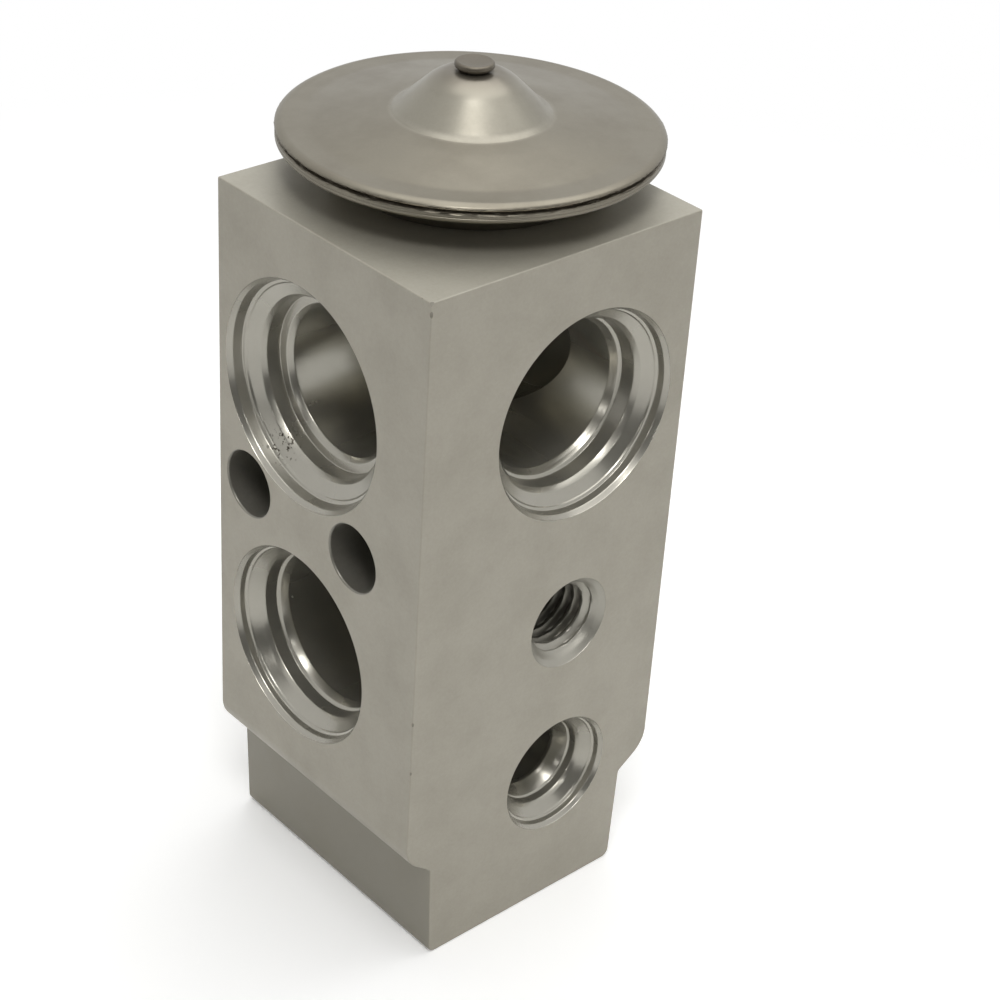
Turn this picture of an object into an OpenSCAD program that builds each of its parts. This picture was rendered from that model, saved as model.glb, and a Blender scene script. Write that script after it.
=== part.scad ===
// Block-type thermostatic expansion valve: a machined block with stepped ports,
// a pressed diaphragm head on top, and the rod, ball and spring inside.
// The valve axis is Z, and the base of the block is at z = 0.

/* [Block] */
// Width of the block, left face to right face
block_w = 32; // [31:0.1:36]
// Depth of the block, front face to back face
block_d = 30.4; // [30:0.1:36]
// Height of the block
block_h = 74.3; // [74:0.1:82]
// Valve axis, from the left face
axis_left = 19.35; // [19:0.05:20]
// Valve axis, from the front face
axis_front = 17.9; // [17.5:0.05:18.5]
// Step in of the foot on the left, at the base
foot_left = 3.45; // [2:0.05:5]
// Step in of the foot on the right, at the base
foot_right = 3.8; // [2:0.05:4]
// Taper of each side of the foot over its height
foot_taper = 0.4; // [0:0.05:0.6]
// Height of the foot where the shoulder meets it
foot_h = 11.1; // [8:0.1:13]
// Fall of the sloping shoulder from the side face to the foot
shoulder_fall = 2.4; // [1:0.1:3.5]
// Rounding between the side face and the shoulder
shoulder_r = 3.4; // [1:0.1:3.6]
// Fillet between the shoulder and the foot
foot_fillet_r = 0.6; // [0.2:0.1:1]
// Rounding of the lower corners
foot_round_r = 0.9; // [0.3:0.1:1.4]
// Chamfer on the long top edges
edge_break = 0.3; // [0.1:0.05:0.8]

/* [Port seats] */
// Width of the chamfer at the mouth of a port
mouth_break = 0.28; // [0.1:0.02:0.4]
// Depth of the chamfer at the mouth of a port
mouth_depth = 0.5; // [0.2:0.05:0.8]
// Depth at the outside of the sloped ledge
ledge_depth = 1.3; // [1:0.05:1.5]
// Depth at the inside of the sloped ledge
seat_depth = 2.2; // [1.9:0.05:2.5]
// Rounding between the sloped ledge and the seal wall
seat_round = 0.5; // [0.2:0.05:0.6]
// Depth at the inside of the sloped ledge in the narrow port
narrow_seat_depth = 1.9; // [1.7:0.05:2.1]
// Depth of the seal wall in the three wide ports
wall_depth = 4.3; // [3.8:0.1:5]
// Depth of the seal wall in the narrow port
narrow_wall_depth = 3.2; // [3:0.1:4]
// Length of the chamfer that leads into each bore
lead_in = 0.7; // [0.4:0.1:1]

/* [Upper passage] */
// Height of the upper passage above the base
upper_z = 57; // [56.5:0.1:57.5]
// Mouth radius of the left port
ul_mouth_r = 11.3; // [11:0.05:11.8]
// Ledge radius of the left port
ul_ledge_r = 10.6; // [10:0.05:10.75]
// Seal wall radius of the left port
ul_seat_r = 8.75; // [8.4:0.05:9.4]
// Bore radius of the left port
ul_bore_r = 7.3; // [6.8:0.05:7.6]
// Mouth radius of the right port
ur_mouth_r = 10.6; // [10.2:0.05:11.4]
// Ledge radius of the right port
ur_ledge_r = 9.95; // [9.4:0.05:10]
// Seal wall radius of the right port
ur_seat_r = 8.5; // [8.2:0.05:8.8]
// Bore radius of the right port
ur_bore_r = 7.7; // [7.4:0.05:7.8]
// Length of each upper bore past the valve axis
upper_reach = 8.6; // [8:0.1:10]

/* [Lower passages] */
// Height of the outlet port on the left face
ll_z = 29.2; // [28.8:0.1:29.4]
// Mouth radius of the outlet port
ll_mouth_r = 10.25; // [10.1:0.05:11]
// Ledge radius of the outlet port
ll_ledge_r = 9.65; // [9.2:0.05:9.75]
// Seal wall radius of the outlet port
ll_seat_r = 8.55; // [8.25:0.05:8.8]
// Bore radius of the outlet port
ll_bore_r = 7.8; // [7.2:0.05:7.9]
// Length of the outlet bore past the valve axis
ll_reach = 6.5; // [5:0.1:9]
// Height of the inlet port on the front face
lr_z = 15.3; // [14.9:0.1:15.5]
// Mouth radius of the inlet port
lr_mouth_r = 6.45; // [6.3:0.05:7]
// Ledge radius of the inlet port
lr_ledge_r = 5.85; // [5.4:0.05:5.95]
// Seal wall radius of the inlet port
lr_seat_r = 4.75; // [4.6:0.05:5]
// Bore radius of the inlet port
lr_bore_r = 4.05; // [3.6:0.05:4.2]
// Length of the lip in the inlet bore
lr_lip = 1.6; // [1.2:0.05:2]
// Radius of the inlet passage behind the lip
lr_way_r = 4.3; // [4.2:0.05:4.5]

/* [Fastening holes] */
// Height of the two plain fixing holes
fix_z = 43.8; // [43:0.1:44.2]
// Distance between the two fixing holes
fix_pitch = 16.1; // [15.8:0.1:16.4]
// Offset of the fixing hole pair towards the back
fix_shift = -0.25; // [-0.4:0.05:0]
// Radius of a fixing hole
fix_r = 3.35; // [3.1:0.05:3.5]
// Chamfer at the mouth of a fixing hole
fix_break = 0.2; // [0.1:0.05:0.6]
// Height of the threaded hole in the front face
tap_z = 33.85; // [33.5:0.05:34.5]
// Core radius of the threaded hole
tap_r = 3.4; // [3.2:0.05:3.6]
// Outer radius of the thread in the front face
tap_outer_r = 4; // [3.9:0.05:4.1]
// Mouth radius of the threaded hole
tap_mouth_r = 4.9; // [4.6:0.05:5.2]
// Depth of the threaded hole
tap_depth = 8.6; // [7:0.1:8.8]

/* [Valve bores] */
// Radius of the threaded socket for the diaphragm head
neck_r = 10; // [9.6:0.1:10.2]
// Depth of the socket for the diaphragm head
neck_len = 7.1; // [6.5:0.1:7.4]
// Radius of the seat for the head's sealing ring
ring_seat_r = 11.4; // [11.2:0.1:11.8]
// Depth of the seat for the head's sealing ring
ring_seat_depth = 1.3; // [1:0.1:1.6]
// Radius of the opening below the head
head_opening_r = 4.4; // [4:0.1:6]
// Radius of the rod seal's pocket
seal_bore_r = 3.3; // [3.1:0.05:3.5]
// Height of the floor of the rod seal's pocket
seal_floor_z = 44.6; // [44:0.1:45.2]
// Height of the top of the valve chamber
chamber_top_z = 19.4; // [19.4:0.05:19.8]
// Radius of the valve chamber
chamber_r = 6.3; // [6.2:0.05:6.5]
// Radius of the metering orifice
orifice_r = 2.1; // [1.8:0.05:2.4]
// Radius of the thread in the base
base_thread_r = 6.95; // [6.8:0.05:7.1]
// Depth of the thread in the base
base_thread_len = 6.6; // [6.3:0.1:7]

/* [Diaphragm head] */
// Outer radius of the head
head_r = 17.9; // [17.4:0.1:18.4]
// Height of the rim's underside above the block
rim_gap = 3.3; // [3:0.05:3.6]
// Thickness of the lower cover at the rim
lower_rim = 1.1; // [0.8:0.05:1.3]
// Thickness of the upper cover at the rim
upper_rim = 0.55; // [0.5:0.05:0.9]
// Sheet thickness of the diaphragm
film_t = 0.2; // [0.1:0.05:0.3]
// How far the diaphragm's edge lies inside the rim
film_inset = 0.5; // [0.3:0.05:0.8]
// Width of the clamped ring at the rim
clamp_w = 3.6; // [3:0.1:4]
// Wall thickness of the covers
cover_t = 0.7; // [0.5:0.05:0.8]
// Radius of the lower cover's shoulder on the block
skirt_r = 12.2; // [12:0.1:12.6]
// Bore radius of the neck
neck_bore_r = 8.5; // [8:0.1:9]
// Rise of the upper cover from its rim to the raised centre
plate_rise = 1.2; // [0.8:0.05:1.4]
// Radius of the raised centre at its foot
dome_r = 7.4; // [7:0.1:8]
// Radius of the raised centre at its shoulder
dome_top_r = 4.4; // [4:0.1:4.8]
// Height of the raised centre
dome_h = 3.9; // [3.6:0.1:4.4]
// Radius of the charge plug's head
plug_r = 1.85; // [1.6:0.05:2.1]
// Height of the charge plug above the raised centre
plug_h = 0.85; // [0.7:0.05:1.2]

/* [Rod and ball] */
// Radius of the stop plate under the diaphragm
stop_r = 10.6; // [9:0.1:10.8]
// Thickness of the stop plate
stop_t = 1.4; // [1.1:0.05:1.5]
// Radius of the sensing rod
sense_r = 3; // [2.6:0.05:3.2]
// Radius of the push rod
push_r = 1.4; // [1.2:0.05:1.5]
// Radius of the ball
ball_r = 3; // [2.6:0.05:3.2]
// Radius of the ball holder
holder_r = 4.6; // [4.2:0.05:5]
// Thickness of the ball holder's plate
holder_t = 1.2; // [1:0.1:1.4]
// Largest opening travel of the ball
lift = 0.8; // [0.5:0.05:0.9]

/* [Adjustment] */
// Height of the screw's underside at its middle setting
screw_z = 1.3; // [1.2:0.05:1.6]
// Length of the adjusting screw
screw_len = 9.2; // [9:0.1:9.4]
// Radius of the cup that holds the spring
cup_r = 4.1; // [3.9:0.05:4.2]
// Height of the cup's floor above the screw's underside
cup_floor = 4.2; // [4:0.1:4.6]
// Width across the flats of the key socket
key_w = 6; // [5:0.5:7]
// Depth of the key socket
key_depth = 2.8; // [2:0.1:3]
// Mean radius of the spring
spring_r = 3.2; // [3:0.05:3.3]
// Wire radius of the spring
wire_r = 0.45; // [0.35:0.05:0.5]
// Turns of the spring
spring_turns = 4.5; // [4:0.5:5]

/* [Fits] */
// Radial clearance of a running fit
run_fit = 0.05; // [0.02:0.01:0.08]
// Radial clearance of a seated piece
seat_fit = 0.02; // [0.01:0.01:0.04]
// Clearance between soft or curved faces that move
soft_gap = 0.12; // [0.05:0.01:0.2]

/* [Hidden] */
$fn = 96;
over = 1;
block_right = block_w - axis_left;
film_z = block_h + rim_gap + lower_rim;
plate_z = film_z + film_t + upper_rim;
dome_z = plate_z + plate_rise;
dome_top_z = dome_z + dome_h;
film_drop = 0.9;
stop_top_z = film_z - film_drop - 0.25;
stop_z = stop_top_z - stop_t;
rod_low_z = upper_z - ur_bore_r + 0.7;
hub_h = 2.6;
hub_wall = 1.5;
hub_web = 0.5;
ball_z = chamber_top_z - sqrt(ball_r * ball_r - orifice_r * orifice_r) - soft_gap;
holder_z = ball_z - ball_r - 0.4 * holder_t;
push_in = 6;
ring_w = 0.65;
groove_h = 2 * ring_w + 0.2;
groove_z = screw_z + base_thread_len + 0.3;
groove_r = chamber_r - 2 * ring_w - 3 * run_fit;
spring_low_z = screw_z + cup_floor;

// area between a corner at p and the round of radius r that softens it,
// where the edges leave the corner at the angles a and b
module corner_area(p, a, b, r) {
    half = (b - a) / 2;
    mid = [cos((a + b) / 2), sin((a + b) / 2)];
    near_a = p + r / tan(half) * [cos(a), sin(a)];
    near_b = p + r / tan(half) * [cos(b), sin(b)];
    centre = p + r / sin(half) * mid;
    difference() {
        polygon([near_a, near_a - over * mid, near_b - over * mid, near_b, centre]);
        translate(centre) circle(r);
    }
}

// centre of the fillet above the foot, for a foot set in by inset on the left
function fillet_centre(inset) =
    let (a = 180 - atan2(shoulder_fall, inset - foot_taper), b = 270 + atan2(foot_taper, foot_h))
    [inset - foot_taper, foot_h]
        + foot_fillet_r / sin((b - a) / 2) * [cos((a + b) / 2), sin((a + b) / 2)];

// half of the bar's outline, from its left side face at x = 0 to x = reach
module half_profile(reach, inset) {
    slope = atan2(shoulder_fall, inset - foot_taper);
    draft = atan2(foot_taper, foot_h);
    centre = fillet_centre(inset);
    difference() {
        polygon([[0, block_h], [0, foot_h + shoulder_fall],
            centre + foot_fillet_r * [sin(slope), cos(slope)], centre,
            centre + foot_fillet_r * [cos(draft), sin(draft)],
            [inset, 0], [reach, 0], [reach, block_h]]);
        translate(centre) circle(foot_fillet_r);
        corner_area([0, foot_h + shoulder_fall], -slope, 90, shoulder_r);
        corner_area([inset, 0], 0, 90 + draft, foot_round_r);
        translate([0, block_h]) rotate(45) square(edge_break * sqrt(2), center = true);
    }
}

// stepped port, cut into a face at z = 0 and running up z
module port_waste(mouth, ledge, seat, bore, seat_at, wall, reach) {
    step = seat - bore;
    rotate_extrude()
        polygon([[0, -over], [mouth, -over], [mouth, 0], [mouth - mouth_break, mouth_depth],
            [ledge + 0.25, ledge_depth - 0.05], [ledge, ledge_depth + 0.05],
            [seat + seat_round, seat_at], [seat + 0.3 * seat_round, seat_at + 0.45 * seat_round],
            [seat, seat_at + 1.1 * seat_round], [seat, wall], [bore + 0.55 * step, wall + 0.1],
            [bore + 0.2 * step, wall + 0.35], [bore, wall + lead_in], [bore, reach], [0, reach]]);
}

module on_left_face(z) {
    translate([-axis_left, 0, z]) rotate([0, 90, 0]) children();
}

module on_front_face(x, z) {
    translate([x, -axis_front, z]) rotate([-90, 0, 0]) children();
}

module bore(r, z_low, z_high) {
    translate([0, 0, z_low]) cylinder(h = z_high - z_low, r = r);
}

// bores along the valve axis
module axis_bores() {
    bore(base_thread_r, -over, base_thread_len);
    translate([0, 0, -0.01])
        cylinder(h = 0.8, r1 = base_thread_r + 0.5, r2 = base_thread_r - 0.3);
    bore(chamber_r, 0, chamber_top_z);
    bore(orifice_r, chamber_top_z - over, ll_z);
    bore(push_r + run_fit, ll_z, upper_z);
    bore(seal_bore_r, seal_floor_z, upper_z);
    bore(head_opening_r, upper_z, block_h);
    bore(neck_r, block_h - neck_len, block_h + over);
    bore(ring_seat_r, block_h - ring_seat_depth, block_h + over);
}

module tap_waste() {
    tip = tap_r * tan(30);
    rotate_extrude()
        polygon([[0, -over], [tap_mouth_r, -over], [tap_mouth_r, 0],
            [tap_outer_r + 0.35, 0.5], [tap_outer_r, 1], [tap_r, 1.6],
            [tap_r, tap_depth], [0, tap_depth + tip]]);
}

module fixing_waste() {
    for (side = [-1, 1])
        translate([0, fix_shift + side * fix_pitch / 2, 0]) {
            on_left_face(fix_z) translate([0, 0, -over]) cylinder(h = block_w + 2 * over, r = fix_r);
            on_left_face(fix_z)
                translate([0, 0, -0.01])
                    cylinder(h = fix_break, r1 = fix_r + fix_break, r2 = fix_r);
        }
}

module valve_body() {
    color("#a09b8d")
    difference() {
        union() {
            translate([-axis_left, block_d - axis_front, 0])
                rotate([90, 0, 0]) linear_extrude(block_d) half_profile(axis_left, foot_left);
            translate([block_right, -axis_front, 0])
                rotate([90, 0, 180]) linear_extrude(block_d)
                    half_profile(block_right + over, foot_right);
        }
        on_left_face(upper_z)
            port_waste(ul_mouth_r, ul_ledge_r, ul_seat_r, ul_bore_r, seat_depth, wall_depth,
                axis_left + upper_reach);
        on_front_face(0, upper_z)
            port_waste(ur_mouth_r, ur_ledge_r, ur_seat_r, ur_bore_r, seat_depth, wall_depth,
                axis_front + upper_reach);
        on_left_face(ll_z)
            port_waste(ll_mouth_r, ll_ledge_r, ll_seat_r, ll_bore_r, seat_depth, wall_depth,
                axis_left + ll_reach);
        on_front_face(0, lr_z)
            port_waste(lr_mouth_r, lr_ledge_r, lr_seat_r, lr_bore_r, narrow_seat_depth,
                narrow_wall_depth, axis_front);
        on_front_face(0, lr_z)
            bore(lr_way_r, narrow_wall_depth + lr_lip, axis_front);
        on_front_face(0, tap_z) tap_waste();
        fixing_waste();
        axis_bores();
    }
}

// soft ring between the head and the block
module head_ring() {
    inner = neck_r + seat_fit;
    outer = ring_seat_r - seat_fit;
    low = block_h - ring_seat_depth + seat_fit;
    high = block_h - seat_fit;
    soft = 0.3;
    color("#2b2b2a")
    rotate_extrude()
        polygon([[inner, low], [outer - soft, low], [outer, low + soft], [outer, high - soft],
            [outer - soft, high], [inner + soft, high], [inner, high - soft]]);
}

module lower_cover() {
    neck_out = neck_r - seat_fit;
    foot_z = block_h + seat_fit;
    rim_z = block_h + rim_gap;
    clamp_r = head_r - clamp_w;
    color("#8d877a")
    rotate_extrude()
        polygon([[neck_bore_r, block_h - neck_len + 0.4], [neck_out - 0.5, block_h - neck_len + 0.4],
            [neck_out, block_h - neck_len + 0.9], [neck_out, foot_z],
            [skirt_r - 0.2, foot_z], [skirt_r, foot_z + 0.2],
            [clamp_r + 0.6, rim_z - 0.15], [clamp_r + 1.1, rim_z],
            [head_r - 0.6, rim_z], [head_r - 0.15, rim_z + 0.2], [head_r, rim_z + 0.5],
            [head_r, film_z - 0.25], [head_r - 0.2, film_z], [clamp_r, film_z],
            [clamp_r - 0.4, film_z - 0.2],
            [skirt_r - 0.9, foot_z + cover_t + 0.25], [skirt_r - 1.3, foot_z + cover_t],
            [neck_bore_r + 0.4, foot_z + 0.6], [neck_bore_r, foot_z + 0.2]]);
}

module diaphragm() {
    edge = head_r - film_inset;
    clamp_r = head_r - clamp_w;
    flat_r = stop_r - 0.6;
    slope = film_drop / (clamp_r - 0.3 - flat_r);
    color("#b0a88f")
    rotate_extrude()
        polygon([[0, film_z - film_drop], [flat_r, film_z - film_drop],
            [clamp_r - 0.3, film_z], [edge, film_z], [edge, film_z + film_t],
            [clamp_r - 0.3 - slope * film_t, film_z + film_t],
            [flat_r - slope * film_t, film_z + film_t - film_drop], [0, film_z + film_t - film_drop]]);
}

module upper_cover() {
    low = film_z + film_t;
    clamp_r = head_r - clamp_w;
    color("#8d877a")
    rotate_extrude()
        polygon([[clamp_r, low], [head_r - 0.2, low], [head_r, low + 0.15],
            [head_r, plate_z - 0.25], [head_r - 0.15, plate_z - 0.05], [head_r - 0.45, plate_z],
            [head_r - 1.2, plate_z - 0.02], [clamp_r + 0.6, plate_z + 0.1],
            [dome_r + 1.1, dome_z - 0.16], [dome_r + 0.4, dome_z], [dome_r - 0.2, dome_z + 0.35],
            [dome_top_r + 0.35, dome_top_z - 1.2], [dome_top_r, dome_top_z - 0.75],
            [dome_top_r - 0.7, dome_top_z - 0.25], [plug_r, dome_top_z],
            [plug_r - 0.7, dome_top_z], [plug_r - 0.7, dome_top_z - cover_t],
            [dome_top_r - 1.2, dome_top_z - cover_t - 0.3],
            [dome_top_r - 0.6, dome_top_z - cover_t - 0.9],
            [dome_r - 0.6, dome_z + 0.2 - cover_t], [dome_r + 0.9, dome_z - cover_t - 0.16],
            [clamp_r - 1, plate_z + 0.1 - cover_t], [clamp_r - 0.3, low + 0.05]]);
}

module charge_plug() {
    color("#7f7a6e")
    rotate_extrude()
        polygon([[0, dome_top_z - cover_t - 0.8], [plug_r - 0.9, dome_top_z - cover_t - 0.8],
            [plug_r - 0.7 - seat_fit, dome_top_z - cover_t - 0.6],
            [plug_r - 0.7 - seat_fit, dome_top_z + seat_fit],
            [plug_r - 0.35, dome_top_z + seat_fit], [plug_r - 0.35, dome_top_z + 0.4 * plug_h],
            [plug_r, dome_top_z + 0.55 * plug_h], [plug_r, dome_top_z + 0.85 * plug_h],
            [plug_r - 0.25, dome_top_z + plug_h], [plug_r - 0.6, dome_top_z + plug_h - 0.08],
            [0, dome_top_z + plug_h - 0.12]]);
}

// plate under the diaphragm, with its hub and balance holes
module stop_plate() {
    color("#9d9480")
    difference() {
        union() {
            translate([0, 0, stop_z]) cylinder(h = stop_t, r = stop_r);
            translate([0, 0, stop_z - hub_h])
                cylinder(h = hub_h + 0.1, r = sense_r + hub_wall);
        }
        bore(sense_r + seat_fit, stop_z - hub_h - over, stop_top_z - hub_web);
        for (turn = [0 : 60 : 300])
            rotate(turn) translate([0.72 * stop_r, 0, stop_z - over])
                cylinder(h = stop_t + 2 * over, r = 0.9, $fn = 32);
    }
}

module sensing_rod() {
    high = stop_top_z - hub_web - seat_fit;
    color("#b4afa2")
    difference() {
        union() {
            translate([0, 0, rod_low_z + 0.5]) cylinder(h = high - rod_low_z - 0.5, r = sense_r);
            translate([0, 0, rod_low_z]) cylinder(h = 0.5, r1 = sense_r - 0.5, r2 = sense_r);
        }
        bore(push_r + seat_fit, rod_low_z - over, rod_low_z + push_in + seat_fit);
    }
}

module push_rod() {
    low = ball_z + ball_r + seat_fit;
    color("#8f8c86")
    union() {
        translate([0, 0, low + 0.3]) cylinder(h = rod_low_z + push_in - low - 0.3, r = push_r);
        translate([0, 0, low]) cylinder(h = 0.3, r1 = push_r - 0.3, r2 = push_r);
    }
}

module rod_seal() {
    w = (seal_bore_r - push_r - run_fit - seat_fit) / 2;
    color("#262625")
    translate([0, 0, seal_floor_z + w + seat_fit])
        rotate_extrude() translate([push_r + run_fit + w, 0]) circle(w, $fn = 32);
}

module seal_retainer() {
    w = seal_bore_r - push_r - run_fit - seat_fit;
    low = seal_floor_z + w + 3 * seat_fit;
    high = rod_low_z - lift - 0.5;
    color("#b08d4a")
    rotate_extrude()
        polygon([[push_r + 0.4, low], [seal_bore_r - seat_fit, low], [seal_bore_r - seat_fit, high - 0.3],
            [seal_bore_r - seat_fit - 0.3, high], [push_r + 0.7, high], [push_r + 0.4, high - 0.3]]);
}

module valve_ball() {
    color("#c9c9c6") translate([0, 0, ball_z]) sphere(ball_r);
}

module ball_holder() {
    low = holder_z - holder_t;
    cup = 0.72 * ball_r;
    color("#8b8478")
    difference() {
        rotate_extrude()
            polygon([[0, low - 1.2], [spring_r - wire_r - 0.35, low - 1.2],
                [spring_r - wire_r - 0.15, low - 0.9], [spring_r - wire_r - 0.15, low],
                [holder_r - 0.2, low], [holder_r, low + 0.2], [holder_r, holder_z - 0.2],
                [holder_r - 0.2, holder_z], [ball_r + 0.6, holder_z], [cup + 0.4, ball_z - 0.5 * ball_r],
                [0, ball_z - 0.5 * ball_r]]);
        translate([0, 0, ball_z]) sphere(ball_r + seat_fit);
    }
}

// swept wire: rings of eight points along a helix with its ends drawn flat
function coil_z(f, span) = span * (f < 0.15 ? 0.35 * f : f > 0.85 ? 1 - 0.35 * (1 - f)
    : 0.0525 + (f - 0.15) * (1 - 0.105) / 0.7);

module coil(mean_r, wire, turns, span) {
    steps = round(turns * 20);
    sides = 8;
    rings = [for (i = [0 : steps], k = [0 : sides - 1])
        let (a = 360 * turns * i / steps, b = 360 * k / sides,
            r = mean_r + wire * cos(b))
        [r * cos(a), r * sin(a), coil_z(i / steps, span) + wire * sin(b)]];
    walls = [for (i = [0 : steps - 1], k = [0 : sides - 1])
        let (n = (k + 1) % sides)
        [i * sides + k, i * sides + n, (i + 1) * sides + n, (i + 1) * sides + k]];
    start = [for (k = [sides - 1 : -1 : 0]) k];
    end = [for (k = [0 : sides - 1]) steps * sides + k];
    polyhedron(points = rings, faces = concat(walls, [start, end]));
}

module valve_spring() {
    span = holder_z - holder_t - spring_low_z - 2 * wire_r - 2 * soft_gap;
    color("#b9b9b5")
    translate([0, 0, spring_low_z + wire_r + soft_gap])
        coil(spring_r, wire_r, spring_turns, span);
}

// hollow screw in the base, with the key socket below and the spring cup above
module adjusting_screw() {
    thread_out = base_thread_r - run_fit;
    nose_r = chamber_r - run_fit;
    color("#b59a5c")
    difference() {
        rotate_extrude()
            polygon([[0, screw_z], [thread_out - 0.6, screw_z], [thread_out, screw_z + 0.6],
                [thread_out, base_thread_len - 1.2], [nose_r, base_thread_len - 1.2],
                [nose_r, groove_z], [groove_r, groove_z], [groove_r, groove_z + groove_h],
                [nose_r, groove_z + groove_h], [nose_r, screw_z + screw_len - 0.2],
                [nose_r - 0.2, screw_z + screw_len], [0, screw_z + screw_len]]);
        bore(cup_r, screw_z + cup_floor, screw_z + screw_len + over);
        translate([0, 0, screw_z - over])
            cylinder(h = key_depth + over, r = key_w / sqrt(3), $fn = 6);
    }
}

module screw_seal() {
    color("#262625")
    translate([0, 0, groove_z + groove_h / 2])
        rotate_extrude() translate([chamber_r - run_fit - ring_w, 0]) circle(ring_w, $fn = 32);
}

valve_body();
head_ring();
lower_cover();
diaphragm();
upper_cover();
charge_plug();
stop_plate();
sensing_rod();
push_rod();
rod_seal();
seal_retainer();
valve_ball();
ball_holder();
valve_spring();
adjusting_screw();
screw_seal();
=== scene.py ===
"""Visual model of a block-type thermostatic expansion valve.

Each class is one sub-assembly or one finish. Sizes are in millimetres, in the frame
of the CAD model, and become metres when a piece is made.
"""

import logging
import math
from collections.abc import Callable, Sequence
from dataclasses import dataclass, replace
from enum import Enum

import bmesh
import bpy
from mathutils import Matrix, Vector, noise


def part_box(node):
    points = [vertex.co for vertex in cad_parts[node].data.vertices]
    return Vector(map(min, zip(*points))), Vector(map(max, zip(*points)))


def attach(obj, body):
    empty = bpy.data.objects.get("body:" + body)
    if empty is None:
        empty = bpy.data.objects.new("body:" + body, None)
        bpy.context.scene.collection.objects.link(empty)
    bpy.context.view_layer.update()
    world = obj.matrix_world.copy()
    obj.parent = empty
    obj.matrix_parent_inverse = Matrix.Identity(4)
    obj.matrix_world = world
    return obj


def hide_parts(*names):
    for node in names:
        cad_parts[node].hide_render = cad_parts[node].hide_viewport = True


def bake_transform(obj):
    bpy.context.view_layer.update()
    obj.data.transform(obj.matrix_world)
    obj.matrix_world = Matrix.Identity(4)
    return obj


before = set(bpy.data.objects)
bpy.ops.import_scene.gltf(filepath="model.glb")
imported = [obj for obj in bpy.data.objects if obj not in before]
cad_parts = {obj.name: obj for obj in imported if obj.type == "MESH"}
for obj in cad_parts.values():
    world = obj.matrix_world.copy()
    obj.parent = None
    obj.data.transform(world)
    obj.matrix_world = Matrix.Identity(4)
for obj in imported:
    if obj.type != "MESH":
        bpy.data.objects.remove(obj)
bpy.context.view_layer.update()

log = logging.getLogger("expansion_valve")

MM = 0.001
SMOOTH_ANGLE = math.radians(34)

Point = tuple[float, float]
Corner = tuple[float, ...]
Place = tuple[float, float, float]
Colour = tuple[float, float, float, float]
Shift = Callable[[float, int], Point]
Tree = bpy.types.NodeTree
Socket = bpy.types.NodeSocket
Material = bpy.types.Material
Mesh = bpy.types.Mesh
Item = bpy.types.Object
Work = bmesh.types.BMesh


class Body(Enum):
    """The bodies of the CAD model that a piece can ride on."""

    HOUSING = "housing"
    STEM = "valve_stem"
    CARRIER = "seal_carrier"


class Side(Enum):
    """The face of the block that a port opens in."""

    LEFT = "left"
    FRONT = "front"


class Axis(Enum):
    """The axis that a surface was turned about."""

    X = 0
    Y = 1
    Z = 2


# Shader helpers


def srgb(code: str) -> Colour:
    """Turns a colour from sRGB hex to linear.

    Args:
        code: colour as "#rrggbb".

    Returns:
        Linear red, green, blue and an alpha of 1.
    """
    values = [int(code[i : i + 2], 16) / 255 for i in (1, 3, 5)]
    linear = [v / 12.92 if v <= 0.04045 else ((v + 0.055) / 1.055) ** 2.4 for v in values]
    return (linear[0], linear[1], linear[2], 1.0)


def add_node(
    tree: Tree, kind: str, inputs: dict | None = None, **settings: object
) -> bpy.types.Node:
    """Adds a shader node with its settings, values and links.

    Args:
        tree: node tree that gets the node.
        kind: type of the node, without its common prefix.
        inputs: a value or an output socket for each input, by name or number.
        settings: the node's own attributes.

    Returns:
        The new node.
    """
    node = tree.nodes.new("ShaderNode" + kind)
    for key, value in settings.items():
        setattr(node, key, value)
    for key, value in (inputs or {}).items():
        if isinstance(value, Socket):
            tree.links.new(value, node.inputs[key])
        else:
            node.inputs[key].default_value = value
    return node


def calc(tree: Tree, operation: str, *values: float | Socket, clamp: bool = False) -> Socket:
    """Returns the result of a sum on numbers."""
    inputs = dict(enumerate(values))
    return add_node(tree, "Math", inputs, operation=operation, use_clamp=clamp).outputs[0]


def vector(tree: Tree, operation: str, *values: Place | Socket) -> Socket:
    """Returns the result of a sum on vectors: a number for a length or a distance."""
    node = add_node(tree, "VectorMath", dict(enumerate(values)), operation=operation)
    return node.outputs["Value" if operation in ("LENGTH", "DISTANCE") else "Vector"]


def part(tree: Tree, source: Socket, axis: int) -> Socket:
    """Returns one of a vector's three parts."""
    return add_node(tree, "SeparateXYZ", {0: source}).outputs[axis]


def ramp(
    tree: Tree,
    value: Socket,
    start: float | Socket,
    end: float,
    top: float = 1.0,
    low: float = 0.0,
) -> Socket:
    """Goes evenly from one number to another while a value goes from start to end.

    Args:
        tree: node tree that gets the node.
        value: value that is followed.
        start: value at which the result is low.
        end: value at which the result is top.
        top: result at the end and past it.
        low: result at the start and before it.

    Returns:
        The result.
    """
    span = {"Value": value, "From Min": start, "From Max": end, "To Min": low, "To Max": top}
    return add_node(tree, "MapRange", span).outputs["Result"]


def mix(tree: Tree, share: Socket, first: Socket | Colour, second: Socket | Colour) -> Socket:
    """Returns the first colour, mixed with a share of the second."""
    inputs = {"Factor": share, 6: first, 7: second}
    return add_node(tree, "Mix", inputs, data_type="RGBA", clamp_factor=True).outputs[2]


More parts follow.
